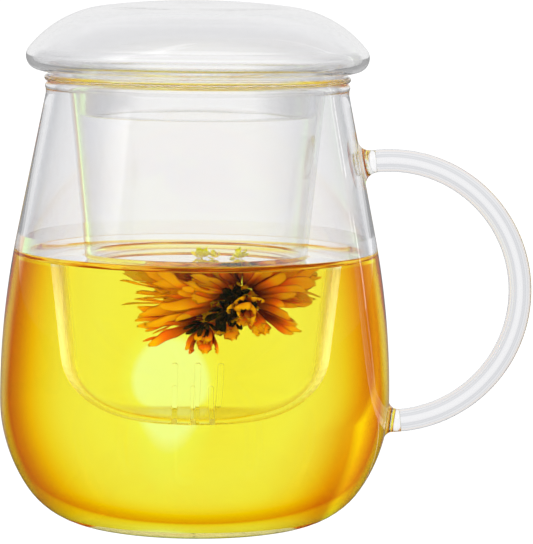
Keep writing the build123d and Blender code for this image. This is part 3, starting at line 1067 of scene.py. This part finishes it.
def petal_fan_tree():
    """Grows petals from one point, opened away from an axis and spread round it."""
    tree, add, given = new_tree(
        "petal_fan", ("Petal", "Geometry"), ("Petals", "Int", 12),
        ("Opening From", "Float", 0.3), ("Opening To", "Float", 1.2),
        ("Shortest", "Float", 0.7), ("Tone", "Float", 0.0), ("Waviness", "Float", 3.6 * MM),
        ("Seed", "Int", 1), ("Centre", "Vector", (0, 0, 0)), ("Tilt", "Vector", (0, 0, 0)))

    def chance(low, high, offset):
        """A random number for each petal."""
        seed = add("ShaderNodeMath", [given["Seed"], offset], operation="ADD")
        return add("FunctionNodeRandomValue", {LEAST: low, MOST: high, "Seed": seed},
                   data_type="FLOAT").outputs[DRAWN]

    row = add("GeometryNodeMeshLine", {"Count": given["Petals"], "Offset": (0, 0, 0)})
    golden = add("ShaderNodeMath", [add("GeometryNodeInputIndex"), 0.618034],
                 operation="MULTIPLY")
    share = add("ShaderNodeMath", [golden], operation="FRACT")
    bearing = add("ShaderNodeMath", [share, math.tau], operation="MULTIPLY")
    turn = add("ShaderNodeCombineXYZ", [
        chance(given["Opening From"], given["Opening To"], 1.0), chance(-0.35, 0.35, 2.0),
        bearing])
    grown = add("GeometryNodeInstanceOnPoints", {
        "Points": row, "Instance": given["Petal"], "Rotation": turn,
        "Scale": chance(given["Shortest"], 1.0, 3.0)})
    own_tone = add("ShaderNodeMath", [chance(-0.3, 0.3, 4.0), given["Tone"]], operation="ADD")
    toned = add("GeometryNodeStoreNamedAttribute", {
        "Geometry": grown, "Name": "tone", "Value": own_tone},
        data_type="FLOAT", domain="INSTANCE")
    real = add("GeometryNodeRealizeInstances", [toned])
    place = add("GeometryNodeInputPosition")
    tone = add("GeometryNodeInputNamedAttribute", {"Name": "tone"}, data_type="FLOAT")
    own_wave = add("ShaderNodeMath", [tone, 40.0], operation="MULTIPLY")
    noise = add("ShaderNodeTexNoise", {
        "Vector": place, "W": own_wave, "Scale": 1 / PETAL_WAVE, "Detail": 1.0},
        noise_dimensions="4D").outputs["Color"]
    centred = add("ShaderNodeVectorMath", [noise, (0.5, 0.5, 0.5)], operation="SUBTRACT")
    out = add("ShaderNodeVectorMath", [place], operation="LENGTH").outputs["Value"]
    grip = add("ShaderNodeMapRange", {
        "Value": out, "From Max": LOOSE_FROM, "To Max": given["Waviness"]})
    sway = add("ShaderNodeVectorMath", {"Vector": centred, "Scale": grip}, operation="SCALE")
    waved = add("GeometryNodeSetPosition", {"Geometry": real, "Offset": sway})
    put = add("GeometryNodeTransform", {
        "Geometry": waved, "Translation": given["Centre"], "Rotation": given["Tilt"]})
    close_tree(add, put, given["Material"])
    return tree


def gathered(name, pieces):
    """Several pieces as one, each with its own material."""
    whole, mesh = bmesh.new(), bpy.data.meshes.new(name)
    for piece in pieces:
        material = piece.data.materials[0]
        if material.name not in mesh.materials:
            mesh.materials.append(material)
        before = len(whole.faces)
        whole.from_mesh(piece.data)
        whole.faces.ensure_lookup_table()
        for face in whole.faces[before:]:
            face.material_index = mesh.materials.find(material.name)
        bpy.data.objects.remove(piece)
    whole.to_mesh(mesh)
    whole.free()
    return new_object(name, mesh)


# Each fan: petals, opening in degrees, shortest share of the full length, full length and width
# as shares, curl, centre in mm above the base, axis and tone
FANS = (
    (60, (10, 75), 0.6, 1.20, 0.8, 0.35, (8.0, -1.0, 57.0), (-0.85, 0.10, 0.50), 0.2),
    (40, (0, 60), 0.6, 1.10, 0.8, 0.4, (3.0, -3.0, 57.0), (-0.60, -0.10, 0.80), 0.35),
    (24, (0, 60), 0.6, 0.85, 0.9, 0.4, (9.0, -2.0, 58.0), (0.55, 0.0, 0.80), 0.1),
    (36, (0, 45), 0.6, 1.05, 0.9, 0.3, (7.0, -4.0, 55.5), (-0.95, -0.15, 0.05), 0.0),
    (18, (0, 18), 0.6, 0.86, 0.5, 0.2, (4.0, -5.0, 51.5), (-0.97, 0.05, -0.13), -0.4),
    (30, (45, 88), 0.6, 0.34, 0.9, 0.4, (5.5, -2.5, 52.0), (0.0, -1.0, 0.0), -0.2),
    (14, (5, 50), 0.5, 0.38, 0.7, 0.8, (2.5, -6.0, 50.0), (-0.30, -0.30, -0.90), -0.4),
    (5, (0, 22), 0.8, 0.60, 1.2, 0.5, (6.0, -6.5, 57.5), (-0.80, -0.50, 0.20), 0.6),
    (10, (25, 75), 0.6, 0.40, 1.1, 1.3, (10.3, -8.0, 54.6), (0.10, -0.90, -0.20), 0.35),
    (4, (0, 25), 0.8, 0.30, 0.9, 0.5, (11.5, -7.0, 53.0), (0.20, -0.20, -0.95), 0.2),
    (36, (35, 85), 0.6, 0.40, 0.9, 0.4, (6.5, -2.0, 55.0), (0.0, -1.0, 0.0), -0.1),
    (16, (10, 60), 0.6, 0.80, 0.9, 0.5, (10.5, -4.0, 57.5), (0.90, 0.10, 0.20), 0.0),
    (5, (0, 14), 0.8, 0.62, 0.6, 0.15, (11.5, -6.0, 54.0), (0.80, -0.10, -0.50), -0.3),
    (12, (5, 32), 0.7, 0.62, 0.7, 0.3, (10.5, -4.5, 56.0), (0.93, -0.20, -0.15), -0.15),
)
# Pale golden petals, lighter in colour than the others, which let more light through and are
# partly see-through
PALE_FANS = (
    (30, (10, 70), 0.6, 1.25, 1.1, 0.3, (6.0, 1.0, 58.0), (-0.90, 0.20, 0.40), 0.2),
    (18, (5, 55), 0.7, 0.76, 0.8, 0.2, (11.0, 0.0, 58.0), (0.95, 0.20, 0.10), 0.3),
)
SEPALS = (
    (64, (0, 80), 0.5, 0.29, 0.5, 0.6, (8.6, -6.0, 55.4), (0.0, -1.0, 0.10), 0.0),
    (40, (0, 80), 0.5, 0.26, 0.5, 0.6, (6.0, -6.5, 53.0), (-0.10, -0.90, -0.30), 0.0),
    (14, (10, 70), 0.5, 0.28, 0.35, 0.6, (2.0, -7.0, 50.5), (-0.30, -0.80, -0.40), 0.0),
)
# These stand in the tea's surface, and their centres are given from there
FLOATING = (
    (26, (20, 88), 0.3, 0.13, 0.5, 0.5, (1.0, 1.0, 0.0), (0.1, 0.0, 1.0), 0.2),
    (10, (20, 88), 0.3, 0.10, 0.5, 0.5, (4.5, 0.0, 0.0), (0.1, 0.0, 1.0), 0.2),
    (22, (20, 88), 0.3, 0.12, 0.5, 0.5, (10.5, 1.0, 0.0), (-0.1, 0.0, 1.0), 0.2),
)


def grow(flower, fans, material, base=0.0):
    """Petals of one material, with an object for each fan, whose centres stand on a base."""
    tree = bpy.data.node_groups.get("petal_fan") or petal_fan_tree()
    grown = []
    for order, fan in enumerate(fans):
        count, opening, shortest, full, wide, curl, centre, axis, tone = fan
        petal = petal_mesh(flower.petal_length * full, flower.petal_width * wide, curl)
        x, y, z = (part * MM for part in centre)
        tilt = Vector((0, 0, 1)).rotation_difference(Vector(axis)).to_euler()
        grown.append(run_tree(
            "petals", tree, petal, petals=count, shortest=shortest, tone=tone,
            seed=flower.seed + 10 * order, opening_from=math.radians(opening[0]),
            opening_to=math.radians(opening[1]), centre=(x, y, base + z), tilt=tuple(tilt),
            material=material))
    return grown


def keep_in_infuser(mesh, infuser, top):
    """Hold a soft thing below the tea's surface and inside the infuser's wall."""
    slope, clear = math.tan(infuser.taper), 0.6 * MM
    for vertex in mesh.vertices:
        point = vertex.co
        if point.z > top:
            point.z = top - 0.08 * (point.z - top)
        most = (infuser.mouth_radius - infuser.wall
                - slope * (infuser.seat - point.z) - clear)
        reach = math.hypot(point.x, point.y)
        if reach > most:
            point.x, point.y = point.x * most / reach, point.y * most / reach


class TEAMUG_OT_flower(bpy.types.Operator):
    """Open the tea flower inside the infuser"""
    bl_idname = "tea_mug.flower"
    bl_label = "Tea flower"

    def execute(self, context):
        mug = context.scene.tea_mug
        petal = soaked_petal("soaked_orange_petal", "#7C1C00", "#FC8400", "#FFD000", "#B84000")
        pale_petals = soaked_petal("faded_golden_petal", "#F08C00", "#FFB800", "#FFD800", "#F09C00",
                             glowing=0.8, sheer=0.35)
        scrap = soaked_petal("soaked_yellow_scrap", "#F4EC00", "#FFFF08", "#FFFF20", "#F4EC00",
                             glowing=0.8)
        sepal = soaked_petal("soaked_green_sepal", "#0A1400", "#142400", "#4A3000", "#0A0A00")
        grown = (grow(mug.flower, FANS, petal) + grow(mug.flower, PALE_FANS, pale_petals)
                 + grow(mug.flower, SEPALS, sepal))
        for part in grown:
            keep_in_infuser(part.data, mug.infuser, mug.tea.level - 0.5 * MM)
        grown += grow(mug.flower, FLOATING, scrap, base=mug.tea.level)
        piece = gathered("tea_flower", grown)
        piece.data.shade_smooth()
        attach(piece, "infuser")
        return {"FINISHED"}


# --- The stage --------------------------------------------------------------------------------

CAMERA_PLACE = 0.01745, -0.900, 0.15305
CAMERA_PITCH, CAMERA_ROLL, CAMERA_LENS = 0.1003, math.radians(0.65), 241.9
TABLE_REACH = 9.0
BACKDROP = 1.1                  # what the camera sees behind the mug
# The light that falls on soft things from the table, from the horizon and from straight above
FALL_FROM_TABLE, FALL_LEVEL, FALL_ABOVE = (0.6, 0.6, 1.2), (0.9, 0.9, 1.8), (2.2, 2.2, 4.4)
CARD_GAIN, SOFTBOX_GAIN = 3.5, 3.2
LAMP_PLACE, LAMP_SIZE = (-4.4 * MM, 43 * MM, 30 * MM), (16 * MM, 32 * MM)
LAMP_SPREAD, LAMP_POWER = math.radians(90), 0.00125
LAMP_SHADES = ((0.32, (0.0, 0.05, 1.0)), (0.38, (0.0, 0.02, 0.1)), (0.5, 0.0))
BOUNCES = 200                   # light finds its way through every layer of glass and tea


def round_about(add, way, shades):
    """A colour by compass bearing."""
    along = add("ShaderNodeSeparateXYZ", [way]).outputs
    bearing = add("ShaderNodeMath", [along["X"], along["Y"]], operation="ARCTAN2")
    turn = add("ShaderNodeMath", [bearing, 1 / math.tau, 0.5], operation="MULTIPLY_ADD")
    return paint_ramp(add("ShaderNodeValToRGB", [turn]), shades)


def seen_as(add, mirrored, falling, otherwise):
    """The backdrop where the camera sees it directly, one colour for mirror reflections, one
    for the light that falls on soft things, and one for light that comes through tea.  Light
    that comes through dry glass alone is plain, but a ray that was mirrored on its way sees
    most of what a mirror does while it has crossed few surfaces.  The falling light is stronger
    on what stands in tea, behind more layers."""
    path = add("ShaderNodeLightPath").outputs
    layers = path["Transmission Depth"]
    mirror = add("ShaderNodeMath", [path["Is Reflection Ray"], path["Is Diffuse Ray"]],
                 operation="SUBTRACT")
    glanced = add("ShaderNodeMath", [path["Glossy Depth"], 0.5], operation="GREATER_THAN")
    few = add("ShaderNodeMapRange", {
        "Value": layers, "From Min": 2.0, "From Max": 3.0, "To Min": 0.65, "To Max": 0.0})
    mirror = add("ShaderNodeMath", [glanced, few, mirror], operation="MULTIPLY_ADD",
                 use_clamp=True)
    soft = add("ShaderNodeMath", [path["Diffuse Depth"], 0.5], operation="GREATER_THAN")
    gain = add("ShaderNodeMapRange", {
        "Value": layers, "From Min": 2.0, "From Max": 4.0, "To Min": 1.0, "To Max": 3.0})
    falling = add("ShaderNodeVectorMath", {"Vector": falling, "Scale": gain},
                  operation="SCALE")
    wet = add("ShaderNodeMapRange", {"Value": layers, "From Min": 4.0, "From Max": 5.0})
    shade = rgba(PLAIN)
    for chosen, colour_there in ((wet, otherwise), (mirror, mirrored), (soft, falling),
                                 (path["Is Camera Ray"], rgba(BACKDROP))):
        shade = add("ShaderNodeMix", {FACTOR: chosen, FIRST: shade, SECOND: colour_there},
                    data_type="RGBA").outputs[MIXED]
    return shade


def set_camera(scene):
    lens = bpy.data.cameras.new("studio_camera")
    lens.lens, lens.sensor_width, lens.clip_start = CAMERA_LENS, 36.0, 0.05
    scene.camera = new_object("studio_camera", lens)
    scene.camera.matrix_world = (
        Matrix.Translation(CAMERA_PLACE) @ Matrix.Rotation(math.pi / 2 - CAMERA_PITCH, 4, "X")
        @ Matrix.Rotation(CAMERA_ROLL, 4, "Z"))


def lay_table():
    floor, add = new_material("white_light_table")
    place = add("ShaderNodeTexCoord").outputs["Object"]
    shade = seen_as(add, round_about(add, place, CARD_SHADES), FALL_FROM_TABLE,
                    round_about(add, place, WARM_SHADES))
    add("ShaderNodeOutputMaterial", [add("ShaderNodeEmission", [shade])])
    corners = [(x * TABLE_REACH, y * TABLE_REACH, 0)
               for x, y in ((-1, -1), (1, -1), (1, 1), (-1, 1))]
    mesh_piece("table", corners, [(0, 1, 2, 3)], floor)


def light_room(scene):
    """A white studio whose dark corners, cards and softbox show only in mirror reflections."""
    scene.world = bpy.data.worlds.new("white_studio")
    scene.world.use_nodes = True
    scene.world.node_tree.nodes.clear()
    add = partial(add_node, scene.world.node_tree)
    way = add("ShaderNodeTexCoord").outputs["Generated"]
    height = add("ShaderNodeSeparateXYZ", [way]).outputs["Z"]
    overhead = paint_ramp(add("ShaderNodeValToRGB", [height]), OVERHEAD_SHADES)
    card = add("ShaderNodeVectorMath", {
        "Vector": round_about(add, way, CARD_SHADES), "Scale": CARD_GAIN},
        operation="SCALE")
    card = add("ShaderNodeVectorMath", [overhead, card], operation="MAXIMUM")
    span = add("ShaderNodeMapRange", {
        "Value": height, "From Min": 0.2, "From Max": 0.3, "To Max": SOFTBOX_GAIN})
    softbox = add("ShaderNodeVectorMath", {
        "Vector": round_about(add, way, SOFTBOX_SHADES), "Scale": span}, operation="SCALE")
    mirrored = add("ShaderNodeVectorMath", [card, softbox], operation="ADD")
    falling = add("ShaderNodeMix", {
        FACTOR: height, FIRST: rgba(FALL_LEVEL), SECOND: rgba(FALL_ABOVE)},
        data_type="RGBA").outputs[MIXED]
    shown = seen_as(add, mirrored, falling, round_about(add, way, WARM_SHADES))
    add("ShaderNodeOutputWorld", [add("ShaderNodeBackground", [shown])])


def light_tea():
    """A small lamp in the tea behind the infuser, whose light fades towards its edge."""
    glow = bpy.data.lights.new("lamp_behind", "AREA")
    glow.shape, (glow.size, glow.size_y) = "ELLIPSE", LAMP_SIZE
    glow.spread, glow.energy = LAMP_SPREAD, LAMP_POWER
    glow.use_nodes = True
    glow.node_tree.nodes.clear()
    add = partial(add_node, glow.node_tree)
    spot = add("ShaderNodeNewGeometry").outputs["Parametric"]
    from_middle = add("ShaderNodeVectorMath", [spot, (0.5, 0.5, 0)], operation="DISTANCE")
    fade = paint_ramp(add("ShaderNodeValToRGB", [from_middle.outputs["Value"]]), LAMP_SHADES)
    add("ShaderNodeOutputLight", [add("ShaderNodeEmission", [fade])])
    lamp = new_object("lamp_behind", glow)
    lamp.location, lamp.rotation_euler = LAMP_PLACE, (-math.pi / 2, 0, 0)
    lamp.visible_camera = lamp.visible_diffuse = lamp.visible_glossy = False


class TEAMUG_OT_stage(bpy.types.Operator):
    """Set the white table, the light, the lamp and the camera"""
    bl_idname = "tea_mug.stage"
    bl_label = "Stage"

    def execute(self, context):
        scene = context.scene
        set_camera(scene)
        lay_table()
        light_room(scene)
        light_tea()
        scene.view_settings.view_transform = "Standard"
        scene.cycles.max_bounces = BOUNCES
        scene.cycles.transmission_bounces = BOUNCES
        scene.cycles.glossy_bounces = BOUNCES
        scene.cycles.transparent_max_bounces = 16
        scene.cycles.use_denoising = True
        return {"FINISHED"}


class TEAMUG_PT_panel(bpy.types.Panel):
    """Lists the mug's pieces and their sizes"""
    bl_label = "Tea mug"
    bl_space_type = "VIEW_3D"
    bl_region_type = "UI"
    bl_category = "Tea mug"

    def draw(self, context):
        mug = context.scene.tea_mug
        for maker in MAKERS:
            self.layout.operator(maker.bl_idname, text=maker.bl_label)
        for group in mug.bl_rna.properties.keys():
            settings = getattr(mug, group)
            if isinstance(settings, bpy.types.PropertyGroup):
                box = self.layout.box()
                box.label(text=group)
                for name in type(settings).__annotations__:
                    box.prop(settings, name)


MAKERS = (TEAMUG_OT_body, TEAMUG_OT_handle, TEAMUG_OT_infuser, TEAMUG_OT_lid,
          TEAMUG_OT_tea, TEAMUG_OT_flower, TEAMUG_OT_stage)
SETTINGS = (MugBodySizes, HandleSizes, InfuserSizes, LidSizes, TeaSettings, FlowerSettings,
            MugSettings)


def register():
    for kind in (*SETTINGS, *MAKERS, TEAMUG_PT_panel):
        bpy.utils.register_class(kind)
    bpy.types.Scene.tea_mug = bpy.props.PointerProperty(type=MugSettings)


def unregister():
    del bpy.types.Scene.tea_mug
    for kind in reversed((*SETTINGS, *MAKERS, TEAMUG_PT_panel)):
        bpy.utils.unregister_class(kind)


def main():
    register()
    for maker in MAKERS:
        family, name = maker.bl_idname.split(".")
        getattr(getattr(bpy.ops, family), name)()


if __name__ == "__main__":
    main()
